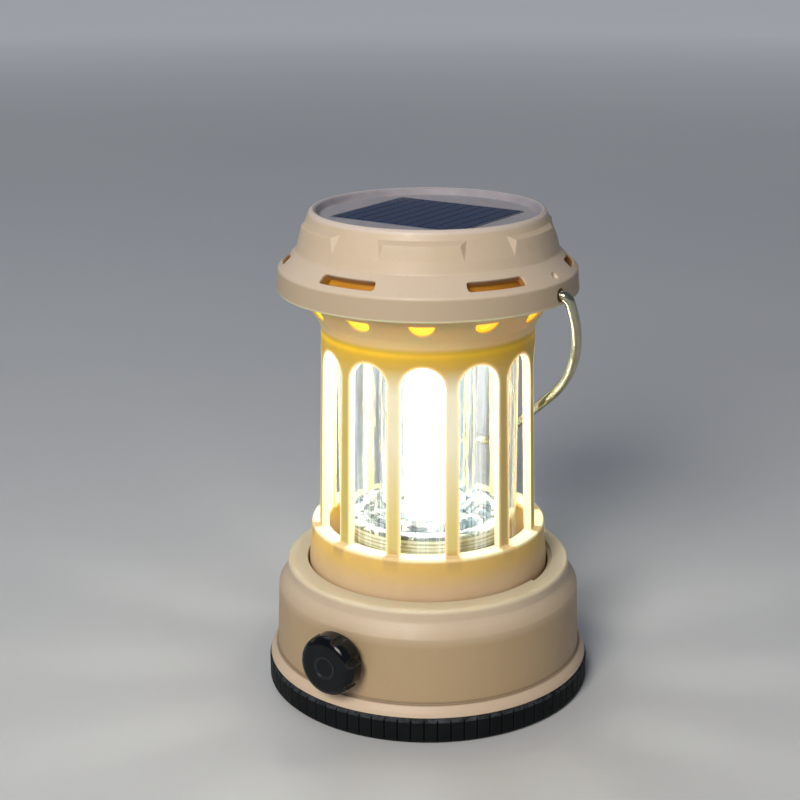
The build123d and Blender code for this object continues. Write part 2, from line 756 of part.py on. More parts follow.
def pot_nut():
    """Hexagon nut on the threaded bush."""
    start = (0, SPOT_FACE_Y - 0.5, KNOB_Z)
    nut = Plane(origin=start, x_dir=(1, 0, 0), z_dir=(0, -1, 0)) * extrude(
        RegularPolygon(5.0, 6, major_radius=False), 2.0
    )
    return nut - rod(start, (0, -1, 0), BUSH_R + RUN_FIT, 2.0)


# ---------------------------------------------------------------- charging port

def usb_c_socket():
    """Steel shell of the charging socket, open to the back."""
    width, depth, height = SOCKET
    place = Plane(origin=(0, SOCKET_MOUTH_Y, PORT_Z), x_dir=(1, 0, 0), z_dir=(0, -1, 0))
    shell = extrude(RectangleRounded(width, height, 1.25), depth)
    cavity = extrude(RectangleRounded(width - 0.6, height - 0.6, 0.95), depth - 1.0)
    return place * (shell - cavity)


def usb_c_tongue():
    """Contact tongue inside the socket."""
    root_y = SOCKET_MOUTH_Y - SOCKET[1] + 1.0
    return block((-3.3, 3.3), (root_y, SOCKET_MOUTH_Y - 1.2), (PORT_Z - 0.35, PORT_Z + 0.35))


def port_flap():
    """Dust flap with a curved outer face, a plug boss and a hinge knuckle along its top."""
    panel = block((-FLAP_HALF_W, FLAP_HALF_W), (POCKET_FLOOR_Y + 0.2, 50), FLAP_Z)
    panel &= Cylinder(FLAP_R, 60, align=UP_MIN)
    boss = block((-4.1, 4.1), (SOCKET_MOUTH_Y + 0.4, 46), (PORT_Z - 1.2, PORT_Z + 1.2))
    web = block((-KNUCKLE_HALF_W, KNUCKLE_HALF_W), (45.2, 46.6), (21.5, HINGE_Z))
    grip = block((-2.5, 2.5), (46.0, FLAP_R + 0.3), (12.9, 13.7))
    knuckle = rod((-KNUCKLE_HALF_W, HINGE_Y, HINGE_Z), (1, 0, 0), KNUCKLE_R, 2 * KNUCKLE_HALF_W)
    bore = rod((-KNUCKLE_HALF_W, HINGE_Y, HINGE_Z), (1, 0, 0), PIN_R + RUN_FIT, 2 * KNUCKLE_HALF_W)
    return panel + boss + web + grip + knuckle - bore


def port_hinge_pin():
    """Steel pin of the flap's hinge."""
    return rod((-PIN_HALF_L, HINGE_Y, HINGE_Z), (1, 0, 0), PIN_R, 2 * PIN_HALF_L)


def charge_indicator():
    """Clear light pipe beside the port, with a domed end."""
    pipe = rod((LIGHT_PIPE_X, 41.0, PORT_Z), (0, 1, 0), LIGHT_PIPE_R, 3.6)
    return fillet(pipe.edges().group_by(Axis.Y)[-1], 0.5)


# ---------------------------------------------------------------- electronics in the base

def main_board():
    """Charging and driver board on four standoffs."""
    board = Pos(0, BOARD_Y, BOARD_TOP_Z - BOARD[2] / 2) * Box(*BOARD)
    board = fillet(board.edges().filter_by(Axis.Z), 1.0)
    for x, y in BOARD_SCREWS:
        board -= rod((x, y, BOARD_TOP_Z - 3), (0, 0, 1), 1.1, 5)
    return board


def board_screws():
    """Four small screws through the board into the standoffs."""
    return group(
        screw((x, y, BOARD_TOP_Z), (0, 0, -1), 1.8, 1.2, 0.9, 5.0) for x, y in BOARD_SCREWS
    )


def board_components():
    """Inductor, driver and charger chips, capacitors, connectors and the charge light."""
    z = BOARD_TOP_Z
    parts = [
        fillet(block((-10.5, -4.5), (24, 30), (z, z + 2.8)).edges().filter_by(Axis.Z), 0.8),
        block((2.0, 7.0), (22.5, 26.5), (z, z + 1.5)),
        block((-8.0, -5.0), (33.0, 36.0), (z, z + 0.9)),
        rod((12.5, 25.0, z), (0, 0, 1), 2.5, 5.5),
        block((-16.5, -12.5), (22.0, 30.0), (z, z + 4.5)),
        block((14.0, 16.0), (38.4, 40.2), (z, z + 1.6)),
    ]
    for k in range(4):
        parts.append(block((1.0 + 2.2 * k, 2.6 + 2.2 * k), (30.0, 30.8), (z, z + 0.7)))
    return group(parts)


def battery_cell():
    """Cylindrical lithium cell with its raised positive end."""
    half = BATTERY_L / 2
    cell = rod((-half, BATTERY_Y, BATTERY_Z), (1, 0, 0), BATTERY_R, BATTERY_L - 0.8)
    cell = fillet(cell.edges().filter_by(GeomType.CIRCLE), 0.6)
    return cell + rod((half - 1.0, BATTERY_Y, BATTERY_Z), (1, 0, 0), 2.8, 1.0)


def battery_holder():
    """Cradle with a half-round trough and two end walls with contact pockets."""
    low = PLATE_Z + PLATE_T
    half_w = BATTERY_R + 1.4
    y = (BATTERY_Y - half_w, BATTERY_Y + half_w)
    cradle = block((-37.5, 37.5), y, (low, BATTERY_Z - 4))
    for side in (-1, 1):
        ends = sorted((side * 33.0, side * 37.5))
        cradle += block(ends, y, (low, 22.0))
    cradle -= rod((-33.0, BATTERY_Y, BATTERY_Z), (1, 0, 0), BATTERY_R + 0.3, 66.0)
    for side in (-1, 1):
        pocket = sorted((side * 32.0, side * 35.4))
        cradle -= block(pocket, (BATTERY_Y - 7.4, BATTERY_Y + 7.4), (6.5, 23.0))
    return cradle


def battery_contacts():
    """Bent leaf contacts at both ends of the cell."""
    contacts = []
    for side in (-1, 1):
        reach = BATTERY_L / 2 + (0.02 if side > 0 else 0.05)
        leaf = make_face(Polyline(
            (35.3, 7.0), (35.3, 22.0), (34.9, 22.0), (34.9, 18.6),
            (reach, 16.0), (reach, 14.0), (34.9, 10.5), (34.9, 7.0), close=True,
        ))
        hollow = make_face(Polyline(
            (34.9, 17.9), (reach + 0.5, 15.7), (reach + 0.5, 14.3), (34.9, 11.2), close=True,
        ))
        strip = extrude(Plane.XZ * (leaf - hollow), 10)
        strip = Pos(0, BATTERY_Y + 5, 0) * strip
        contacts.append(strip if side > 0 else mirror(strip, Plane.YZ))
    return group(contacts)


NODES = {
    "foot_ring": foot_ring,
    "base_housing": base_housing,
    "base_plate": base_plate,
    "base_screws": base_screws,
    "cage_screws": cage_screws,
    "cage": cage,
    "cap_cover": cap_cover,
    "cap_screws": cap_screws,
    "solar_panel": solar_panel,
    "solar_cells": solar_cells,
    "solar_leads": solar_leads,
    "top_reflector": top_reflector,
    "lamp_cover": lamp_cover,
    "light_guide": light_guide,
    "diffuser_column": diffuser_column,
    "led_strip": led_strip,
    "led_chips": led_chips,
    "lamp_pedestal": lamp_pedestal,
    "bail_handle": bail_handle,
    "bail_retainers": bail_retainers,
    "control_knob": control_knob,
    "pot_shaft": pot_shaft,
    "pot_body": pot_body,
    "pot_washer": pot_washer,
    "pot_nut": pot_nut,
    "usb_c_socket": usb_c_socket,
    "usb_c_tongue": usb_c_tongue,
    "port_flap": port_flap,
    "port_hinge_pin": port_hinge_pin,
    "charge_indicator": charge_indicator,
    "main_board": main_board,
    "board_screws": board_screws,
    "board_components": board_components,
    "battery_cell": battery_cell,
    "battery_holder": battery_holder,
    "battery_contacts": battery_contacts,
}


def main():
    os.makedirs("parts", exist_ok=True)
    for name, make in NODES.items():
        export_step(make(), f"parts/{name}.step")


main()
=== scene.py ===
import math

import bpy
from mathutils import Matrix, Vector

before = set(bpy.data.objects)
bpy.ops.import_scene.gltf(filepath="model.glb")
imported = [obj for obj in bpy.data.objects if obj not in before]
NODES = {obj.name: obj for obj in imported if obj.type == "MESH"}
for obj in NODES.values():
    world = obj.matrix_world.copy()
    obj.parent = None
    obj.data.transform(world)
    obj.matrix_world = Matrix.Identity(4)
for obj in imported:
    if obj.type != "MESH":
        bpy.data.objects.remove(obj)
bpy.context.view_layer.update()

# Camera: azimuth from -Y towards +X and pitch below level, in degrees. The rest is in metres.
VIEW_AZIMUTH = 32.77
VIEW_PITCH = 17.333
VIEW_DISTANCE = 0.46321
VIEW_HEIGHT = 0.23383
LENS_MM = 71.74
SENSOR_MM = 36.0
SHIFT_X = -0.035

# Studio. Each softbox has a name, a place, a side in metres, a power in watts and a colour.
SOFTBOXES = (
    ("key", (0.2, -0.92, 0.68), 0.42, 10.6, (1.0, 0.97, 0.91)),
    ("top", (-0.45, 0.3, 0.9), 0.6, 1.6, (0.75, 0.86, 1.0)),
)
SOFTBOX_AIM = (0.0, 0.0, 0.07)
SKY_COLOUR = (0.78, 0.85, 1.0, 1.0)
SKY_STRENGTH = 0.15
FLOOR_HALF_SIDE = 6.0
FLOOR_Z = -0.0002
FLOOR_GLOW_RADII = (0.4, 2.6)
FLOOR_GLOW_COLOUR = (0.80, 0.83, 0.88)
FLOOR_GLOW_STRENGTH = 0.32

# Nearly all of a noise texture's values lie in this span.
NOISE_SPAN = (0.3, 0.7)
# Cosines between the rounded and the true normal, from a plain face to a full edge.
EDGE_COSINES = (0.995, 0.9)
BEVEL_SAMPLES = 4
BLACK = (0.0, 0.0, 0.0)

# A fade is a pair of lengths in metres: 0 at the first and before it, 1 at the second and past it.
BELOW_CAP = (0.060, 0.050)
ABOVE_CAGE = (0.118, 0.119)

# Tints of the beige plastic: colour, strength, fades by height and fades by distance from the axis.
# Most of them paint light and shade: painted highlights on the collar crest, bead, brim and rim,
# painted shade on the skirt under the brim and in the groove over the bead, painted lamp light on the hem.
BEIGE_TINTS = {
    "collar crest": ((0.74, 0.66, 0.47), 0.7, (BELOW_CAP, (0.0378, 0.0390)), ()),
    "wall": ((0.43, 0.305, 0.175), 1.0, ((0.034, 0.0285),), ()),
    "groove over the bead": ((0.17, 0.11, 0.065), 0.75, ((0.0108, 0.0113), (0.0123, 0.0116)), ()),
    "bead": ((0.66, 0.51, 0.38), 0.8, ((0.0113, 0.0109),), ((0.0475, 0.0480),)),
    "skirt": ((0.47, 0.365, 0.25), 1.0, (ABOVE_CAGE, (0.1318, 0.1308)), ()),
    "skirt hem": ((0.72, 0.72, 0.44), 0.7, (ABOVE_CAGE, (0.1256, 0.1252)), ((0.0440, 0.0445),)),
    "brim": ((0.65, 0.525, 0.405), 0.8, ((0.1308, 0.1318),), ((0.0385, 0.0395),)),
    "rim": ((0.66, 0.56, 0.50), 0.8, ((0.1470, 0.1476),), ((0.0326, 0.0330),)),
}
# Painted dim sky reflection in the cap's dish: height and radius fades, strength and colours.
DISH_FADE = (0.1462, 0.1464)
DISH_RADIUS_FADE = (0.0340, 0.0334)
DISH_STRENGTH = 0.9
DISH_COLOURS = ((0.28, 0.26, 0.31), (0.34, 0.32, 0.36))

# Slots in the cap's brim: radius and height of the slope's top, its direction, and each slot's outline.
BRIM_TOP = (0.0389, 0.1368)
BRIM_SLOPE = (0.7201, 0.6939)
BRIM_SLOT_ALONG = 0.004066
BRIM_SLOT_HALF_W = 0.00165
BRIM_SLOT_STEP = math.radians(60.0)
BRIM_SLOT_HALF_TURN = 12.5 / 60.0
BRIM_SLOT_END_FADE = (BRIM_SLOT_HALF_TURN + 0.006, BRIM_SLOT_HALF_TURN + 0.002)
BRIM_SLOT_SIDE_FADE = (BRIM_SLOT_HALF_W + 0.0002, BRIM_SLOT_HALF_W + 0.0001)
BRIM_SLOT_DEPTH_FADES = ((0.0003, 0.0009), (0.005, 0.004))
# Painted warm lamp light on the walls of the brim's slots.
BRIM_SLOT_PAINTED_GLOW = (0.36, 0.165, 0.04)

# Twenty whole steps keep the angle positive, and the half puts a slot's or window's middle at 0.5.
TURN_OFFSET = 20.5

# Tints of the cage by height, from its foot up.
# The gold of the band, bars and arches is partly painted lamp light; the orange-brown inside the cap is
# painted lamp light.
CAGE_TINTS = {
    "band": ((0.58, 0.39, 0.13), (0.042, 0.048)),
    "bars": ((0.50, 0.35, 0.145), (0.0515, 0.0545)),
    "arches": ((0.54, 0.34, 0.03), (0.104, 0.111)),
    "neck": ((0.72, 0.57, 0.27), (0.1128, 0.1142)),
    "inside the cap": ((0.54, 0.22, 0.03), (0.1275, 0.1285)),
}

# Windows of the cage: half width, and the height of the middle of the round top.
WINDOW_STEP = math.radians(30.0)
WINDOW_HALF_W = 0.00655
WINDOW_ARC_Z = 0.10195
BAND_TOP_Z = 0.0516
# Pale jambs: painted lamp light on the windows' side walls.
JAMB_COLOUR = (0.58, 0.56, 0.36)
JAMB_SIDE_FADE = (0.0004, 0.0)
JAMB_HEIGHT_FADES = ((0.0505, 0.0512), (0.1105, 0.1095))

# The lamp's light soaking into the cage, by height: (share of the span, strength). The foot is dull, then
# come the bright top of the band, the bars, the narrow bright crest over the arches, and the neck.
CAGE_GLOW_SPAN = (0.032, 0.128)
CAGE_GLOW = (
    (0.00, 0.0), (0.06, 0.03), (0.19, 0.55), (0.22, 0.18), (0.70, 0.16), (0.79, 0.34), (0.818, 0.45),
    (0.832, 1.0), (0.844, 0.35), (0.862, 0.10), (0.965, 0.05), (1.00, 0.20),
)
CAGE_GLOW_STRENGTH = 0.5
SIDE_FADE = (-0.035, 0.04)
SOAKED_BY_SIDE = (1.5, 0.2)
OUTLINE_BY_SIDE = (1.0, 0.55)
BAND_GOLD = (1.0, 0.60, 0.06)
NECK_GOLD = (1.0, 0.60, 0.0)
BAR_GOLD = (1.6, 1.85, 0.0)
GOLD_FADE = (0.0535, 0.0505)
BAR_FADES = ((0.052, 0.054), (0.108, 0.100))
# Painted shadow patches on the band at the foot of each bar: side fade, height fades and shade.
PATCH_SIDE_FADE = (0.0, 0.0012)
PATCH_FADES = ((0.0470, 0.0505), (0.0525, 0.0520))
PATCH_SHADE = 0.15
BAR_FACING_FADE = (0.30, 0.07)
BAR_RISE = (0.054, 0.085)
BAR_LOW_STRENGTH = 0.45
BAR_PALE_FADE = (0.060, 0.085)
BAR_PALES = ((0.95, 0.92, 0.30), (0.86, 1.02, 0.90))
OUTLINE_COLOUR = (1.1, 0.98, 0.60)
OUTLINE_SIDE_FADE = (0.0010, 0.0003)
OUTLINE_FADES = ((BAND_TOP_Z - 0.0004, BAND_TOP_Z), (0.1100, 0.1090))
SILL_FADES = ((BAND_TOP_Z - 0.0012, BAND_TOP_Z - 0.0004), (BAND_TOP_Z + 0.0006, BAND_TOP_Z + 0.0002))
SILL_STRENGTH = 0.7

# Vent pockets in the cage's neck: the neck's slope, and the depths and heights that the pockets fill.
NECK_SLOPE_Z = (0.1164, 0.1220)
NECK_SLOPE_R = (0.0333, 0.0372)
VENT_DEPTH_FADES = ((0.0005, 0.0012), (0.0026, 0.0023))
VENT_FADES = ((0.1168, 0.1178), (0.1228, 0.1222))
VENT_SIDE_FADE = (-0.03, 0.03)
VENT_COLOURS = ((2.6, 1.75, 0.02), (1.7, 0.95, 0.0))

# Lamp and pedestal.
CELL_GRAIN = 0.0012
FINGER_PITCH = 0.0016
LAMP_FOOT_FADE = (0.040, 0.050)
LAMP_RADIUS_FADE = (0.0285, 0.0280)
PEDESTAL_FADE = (0.060, 0.058)
PEDESTAL_WALL_FADE = (0.0536, 0.0532)
RING_RATE = 900.0
SWIRL = 14.0
WALL_LINE_RATE = 5200.0


# ---------------------------------------------------------------- node helpers

class Finish:
    """A Principled material built from procedural nodes. Textures read the piece's own metres."""

    def __init__(self, name, **constants):
        self.mat = bpy.data.materials.new(name)
        self.mat.use_nodes = True
        self.tree = self.mat.node_tree
        self.shader = self.tree.nodes["Principled BSDF"]
        self.coords = self.tree.nodes.new("ShaderNodeTexCoord").outputs["Object"]
        for key, value in constants.items():
            self.set(key, value)

    def set(self, key, value):
        """Sets or links one of the shader's sockets. Underscores stand for spaces."""
        socket = self.shader.inputs[key.replace("_", " ")]
        if isinstance(value, bpy.types.NodeSocket):
            self.tree.links.new(value, socket)
        elif isinstance(value, tuple) and len(value) == 3 and len(socket.default_value) == 4:
            socket.default_value = (*value, 1.0)
        else:
            socket.default_value = value

    def add(self, kind, settings=None, **inputs):
        made = self.tree.nodes.new("ShaderNode" + kind)
        for key, value in (settings or {}).items():
            setattr(made, key, value)
        for key, value in inputs.items():
            self.plug(made.inputs[key.replace("_", " ")], value)
        return made

    def plug(self, socket, value):
        if isinstance(value, bpy.types.NodeSocket):
            self.tree.links.new(value, socket)
        elif isinstance(value, tuple) and socket.type == "RGBA" and len(value) == 3:
            socket.default_value = (*value, 1.0)
        else:
            socket.default_value = value

    def maths(self, operation, a, b=0.0):
        made = self.add("Math", {"operation": operation})
        self.plug(made.inputs[0], a)
        self.plug(made.inputs[1], b)
        return made.outputs[0]

    def product(self, first, *others):
        """Masks multiplied together: 1 only where all of them are 1."""
        total = first
        for other in others:
            total = self.maths("MULTIPLY", total, other)
        return total

    def remap(self, value, low, high, to_low=0.0, to_high=1.0, smooth=False):
        made = self.add("MapRange", {"interpolation_type": "SMOOTHSTEP" if smooth else "LINEAR"},
                        Value=value)
        made.clamp = True
        made.inputs["From Min"].default_value = low
        made.inputs["From Max"].default_value = high
        made.inputs["To Min"].default_value = to_low
        made.inputs["To Max"].default_value = to_high
        return made.outputs["Result"]

    def fades(self, value, pairs):
        """The product of several fades of one value."""
        return self.product(*(self.remap(value, *pair) for pair in pairs))

    def mix(self, factor, a, b):
        made = self.add("Mix", {"data_type": "RGBA"})
        self.plug(made.inputs["Factor"], factor)
        sockets = [s for s in made.inputs if s.type == "RGBA"]
        self.plug(sockets[0], a)
        self.plug(sockets[1], b)
        return [s for s in made.outputs if s.type == "RGBA"][0]

    def grey_ramp(self, value, stops):
        """Maps a value through stops of (position, grey)."""
        made = self.add("ValToRGB", Fac=value)
        ends = made.color_ramp.elements
        while len(ends) < len(stops):
            ends.new(0.5)
        for end, (position, grey) in zip(ends, stops):
            end.position = position
            end.color = (grey, grey, grey, 1.0)
        return made.outputs["Color"]

    def noise(self, size, detail=3.0, rough=0.55, stretch=None, distortion=0.0):
        """Fractal noise whose features are about size metres across."""
        vector = self.coords
        if stretch:
            scaled = self.add("VectorMath", {"operation": "MULTIPLY"})
            self.plug(scaled.inputs[0], self.coords)
            self.plug(scaled.inputs[1], stretch)
            vector = scaled.outputs[0]
        made = self.add("TexNoise", Vector=vector, Scale=1.0 / size, Detail=detail,
                        Roughness=rough, Distortion=distortion)
        return made.outputs["Fac"]

    def mottled(self, size, low, high, detail=4.0, **more):
        """A number that wanders from low to high."""
        return self.remap(self.noise(size, detail, **more), *NOISE_SPAN, low, high)

    def marbled(self, size, dark, light, detail=4.0, **more):
        """A colour that wanders from dark to light."""
        return self.mix(self.mottled(size, 0.0, 1.0, detail, **more), dark, light)

    def axes(self):
        return self.add("SeparateXYZ", Vector=self.coords).outputs

    def radius(self):
        """Distance from the lantern's axis."""
        x, y, _ = self.axes()
        return self.maths("SQRT", self.maths("ADD", self.product(x, x), self.product(y, y)))

    def sector_turn(self, step):
        """Angle from the middle of the nearest of the features that repeat every step, in steps."""
        x, y, _ = self.axes()
        sector = self.maths("DIVIDE", self.maths("ARCTAN2", x, y), step)
        return self.maths("SUBTRACT", self.maths("FRACT", self.maths("ADD", sector, TURN_OFFSET)), 0.5)

    def upward(self):
        """How far the surface faces up, from 0 at level sides to 1 on top."""
        normal = self.add("NewGeometry").outputs["Normal"]
        return self.remap(self.add("SeparateXYZ", Vector=normal).outputs["Z"], 0.0, 1.0)

    def rounded(self, radius):
        """The surface normal with edges rounded over."""
        return self.add("Bevel", {"samples": BEVEL_SAMPLES}, Radius=radius).outputs["Normal"]

    def edges(self, radius):
        """1 on edges within radius, 0 on plain faces."""
        dot = self.add("VectorMath", {"operation": "DOT_PRODUCT"})
        self.plug(dot.inputs[0], self.rounded(radius))
        self.plug(dot.inputs[1], self.add("NewGeometry").outputs["Normal"])
        return self.remap(dot.outputs["Value"], *EDGE_COSINES)

    def edged(self, colour, edge_colour, radius, strength):
        """The colour with its edges mixed towards another."""
        return self.mix(self.product(self.edges(radius), strength), colour, edge_colour)

    def bump(self, height, distance, strength=1.0, normal=None):
        made = self.add("Bump", Height=height, Distance=distance, Strength=strength)
        if normal is not None:
            self.plug(made.inputs["Normal"], normal)
        self.set("Normal", made.outputs["Normal"])

    def let_lamps_through(self):
        """Clear plastic doesn't stop lamp light on its way to the plastic round it."""
        path = self.add("LightPath").outputs
        through = self.add("BsdfTransparent", Color=(0.97, 0.985, 0.98)).outputs[0]
        either = self.maths("MAXIMUM", path["Is Shadow Ray"], path["Is Diffuse Ray"])
        mixer = self.add("MixShader")
        self.plug(mixer.inputs[0], either)
        self.plug(mixer.inputs[1], self.shader.outputs[0])
        self.plug(mixer.inputs[2], through)
        output = self.tree.nodes["Material Output"]
        self.plug(output.inputs["Surface"], mixer.outputs[0])


def times(colour, factor, lift=0.0):
    """A colour made lighter or darker, kept at 1 or below."""
    return tuple(min(1.0, c * factor + lift) for c in colour)


# ---------------------------------------------------------------- moulded plastics

def moulded(name, base, dusty, tints, rough):
    """Moulded matte plastic: soft mottling, tints by place that paint light and shade, specks, paler edges
    and a fine grain.
    """
    f = Finish(name, IOR=1.49, Specular_IOR_Level=0.45)
    colour = tints(f, f.marbled(0.022, base, dusty, rough=0.6))
    specks = f.remap(f.noise(0.0014, detail=2.0, rough=0.7), 0.62, 0.78, 0.0, 0.35)
    colour = f.mix(specks, colour, times(base, 0.82))
    f.set("Base_Color", f.edged(colour, times(base, 1.22), radius=0.0006, strength=0.45))
    f.set("Roughness", f.mottled(0.006, rough - 0.07, rough + 0.09, detail=5.0, rough=0.65))
    fine = f.noise(0.0001575, detail=1.0, rough=0.5)
    grain = f.maths("ADD", f.noise(0.00045, detail=2.0, rough=0.6), f.product(fine, 0.5))
    f.bump(grain, distance=0.00005, strength=0.7, normal=f.rounded(0.0004))
    return f


def brim_slot_mask(f):
    """1 on the walls of the six slots in the cap's brim, fading in just below the brim's slope."""
    out = f.maths("SUBTRACT", f.radius(), BRIM_TOP[0])
    down = f.maths("SUBTRACT", BRIM_TOP[1], f.axes()[2])
    along = f.maths("ADD", f.product(out, BRIM_SLOPE[0]), f.product(down, BRIM_SLOPE[1]))
    depth = f.maths("SUBTRACT", f.product(down, BRIM_SLOPE[0]), f.product(out, BRIM_SLOPE[1]))
    aside = f.maths("ABSOLUTE", f.maths("SUBTRACT", along, BRIM_SLOT_ALONG))
    turn = f.maths("ABSOLUTE", f.sector_turn(BRIM_SLOT_STEP))
    return f.product(f.remap(turn, *BRIM_SLOT_END_FADE), f.remap(aside, *BRIM_SLOT_SIDE_FADE),
                     f.fades(depth, BRIM_SLOT_DEPTH_FADES))


def beige_tints(f, colour):
    """Tints by place that paint light and shade, painted orange-brown lamp light on the brim slots' walls,
    and a painted cool sky reflection in the dish.
    """
    z = f.axes()[2]
    radius = f.radius()
    for tint, strength, heights, radii in BEIGE_TINTS.values():
        place = f.fades(z, heights)
        if radii:
            place = f.product(place, f.fades(radius, radii))
        colour = f.mix(f.product(place, strength), colour, tint)
    colour = f.mix(brim_slot_mask(f), colour, BRIM_SLOT_PAINTED_GLOW)
    dish = f.product(f.remap(z, *DISH_FADE), f.remap(radius, *DISH_RADIUS_FADE), DISH_STRENGTH)
    return f.mix(dish, colour, f.marbled(0.006, *DISH_COLOURS))


def beige_plastic():
    """Cap, base and dust flap."""
    f = moulded("beige_plastic", (0.58, 0.455, 0.32), (0.62, 0.49, 0.355), beige_tints, rough=0.46)
    f.set("Subsurface_Weight", 0.12)
    f.set("Subsurface_Radius", (1.0, 0.5, 0.25))
    f.set("Subsurface_Scale", 0.0015)
    return f.mat


def window_distance(f):
    """Metres from the nearest window's outline, positive on the bars round it."""
    angle = f.product(f.sector_turn(WINDOW_STEP), WINDOW_STEP)
    aside = f.product(f.radius(), f.maths("SINE", angle))
    above = f.maths("MAXIMUM", f.maths("SUBTRACT", f.axes()[2], WINDOW_ARC_Z), 0.0)
    squares = f.maths("ADD", f.product(aside, aside), f.product(above, above))
    return f.maths("SUBTRACT", f.maths("SQRT", squares), WINDOW_HALF_W)


def cage_tints(f, colour):
    """Gold where the lamp's light soaks through, greyer neck, painted orange-brown lamp light under the cap,
    pale jambs painted as lamp-lit.
    """
    z = f.axes()[2]
    for tint, fade in CAGE_TINTS.values():
        colour = f.mix(f.remap(z, *fade), colour, tint)
    jamb = f.product(f.remap(window_distance(f), *JAMB_SIDE_FADE), f.fades(z, JAMB_HEIGHT_FADES))
    return f.mix(jamb, colour, JAMB_COLOUR)


def soaked_light(f, x, z, beside, bars):
    """Painted gold light through the wall, stronger on the left, with painted shadow patches at the foot of
    each bar.
    """
    lit = f.grey_ramp(f.remap(z, *CAGE_GLOW_SPAN), CAGE_GLOW)
    patch = f.product(f.remap(beside, *PATCH_SIDE_FADE), f.fades(z, PATCH_FADES))
    seen = f.product(lit, f.mottled(0.008, 0.8, 1.1), f.remap(x, *SIDE_FADE, *SOAKED_BY_SIDE),
                     f.remap(patch, 0.0, 1.0, 1.0, PATCH_SHADE))
    gold = f.mix(f.remap(z, *GOLD_FADE), NECK_GOLD, BAND_GOLD)
    return f.mix(seen, BLACK, f.mix(bars, gold, BAR_GOLD))


def bar_light(f, z, bars, glow):
    """Bars seen square on, with the lamp right behind them, glow paler."""
    facing = f.add("LayerWeight", Blend=0.5).outputs["Facing"]
    through = f.product(f.remap(facing, *BAR_FACING_FADE), bars,
                        f.remap(z, *BAR_RISE, BAR_LOW_STRENGTH, 1.0))
    return f.mix(through, glow, f.mix(f.remap(z, *BAR_PALE_FADE), *BAR_PALES))


def outline_light(f, x, z, beside, glow):
    """Cream light along the windows' outlines and on their sills."""
    outline = f.product(f.remap(beside, *OUTLINE_SIDE_FADE), f.fades(z, OUTLINE_FADES))
    sill = f.product(f.fades(z, SILL_FADES), SILL_STRENGTH)
    strength = f.product(f.maths("MAXIMUM", outline, sill), f.remap(x, *SIDE_FADE, *OUTLINE_BY_SIDE))
    return f.mix(strength, glow, OUTLINE_COLOUR)


def vent_light(f, x, z, glow):
    """Warm light in the vent pockets: below the neck's outer slope and above its inner face."""
    outer = f.remap(z, *NECK_SLOPE_Z, *NECK_SLOPE_R)
    depth = f.maths("SUBTRACT", outer, f.radius())
    pocket = f.product(f.fades(depth, VENT_DEPTH_FADES), f.fades(z, VENT_FADES))
    return f.mix(pocket, glow, f.mix(f.remap(x, *VENT_SIDE_FADE), *VENT_COLOURS))


def cage_plastic():
    """Translucent plastic with the lamp's light soaking through where the wall is thin."""
    f = moulded("cage_plastic", (0.56, 0.40, 0.255), (0.60, 0.44, 0.285), cage_tints, rough=0.42)
    f.set("Subsurface_Weight", 0.45)
    f.set("Subsurface_Radius", (1.0, 0.6, 0.1))
    f.set("Subsurface_Scale", 0.0026)
    x, _, z = f.axes()
    beside = window_distance(f)
    bars = f.fades(z, BAR_FADES)
    glow = soaked_light(f, x, z, beside, bars)
    glow = bar_light(f, z, bars, glow)
    glow = outline_light(f, x, z, beside, glow)
    f.set("Emission_Color", vent_light(f, x, z, glow))
    f.set("Emission_Strength", CAGE_GLOW_STRENGTH)
    return f.mat


# ---------------------------------------------------------------- other materials

def black_rubber():
    """Near-black tread, paler on top with dust and a painted cool sky highlight, with paler edges on its
    blocks.
    """
    f = Finish("black_rubber", Specular_IOR_Level=0.1)
    dust_and_sky_highlight = f.remap(f.noise(0.003, detail=5.0, rough=0.7), 0.35, 0.75)
    colour = f.marbled(0.012, (0.0035, 0.0045, 0.005), (0.007, 0.009, 0.010))
    colour = f.mix(f.product(f.upward(), dust_and_sky_highlight, 0.9), colour, (0.11, 0.115, 0.135))
    f.set("Base_Color", f.edged(colour, (0.018, 0.021, 0.023), radius=0.0004, strength=0.5))
    f.set("Roughness", f.mottled(0.002, 0.5, 0.7, rough=0.7))
    f.bump(f.noise(0.0004, rough=0.7), distance=0.00006, strength=0.8, normal=f.rounded(0.0003))
    return f.mat


def gloss_black():
    """Polished knob with smudges, faint scratches and edges painted paler as highlights."""
    f = Finish("gloss_black", IOR=1.5, Specular_IOR_Level=0.17, Coat_Weight=0.10, Coat_Roughness=0.05)
    colour = f.marbled(0.004, (0.0025, 0.003, 0.004), (0.005, 0.006, 0.008))
    # Paler edges: painted highlights.
    f.set("Base_Color", f.edged(colour, (0.060, 0.072, 0.080), radius=0.0007, strength=0.6))
    smudge = f.noise(0.0035, detail=5.0, rough=0.7, distortion=0.6)
    f.set("Roughness", f.remap(smudge, 0.35, 0.7, 0.09, 0.18))
    scratches = f.noise(0.0012, detail=2.0, rough=0.5, stretch=(1.0, 1.0, 6.0))
    f.bump(scratches, distance=0.00003, strength=0.35, normal=f.rounded(0.0005))
    return f.mat


def metal(name, colour, tint, rough):
    f = Finish(name, Metallic=1.0)
    f.set("Base_Color", f.marbled(0.004, colour, tint))
    f.set("Roughness", f.mottled(0.0006, rough * 0.7, rough * 1.5, rough=0.6))
    f.bump(f.noise(0.0006, rough=0.6), distance=0.00002, strength=0.4)
    return f.mat


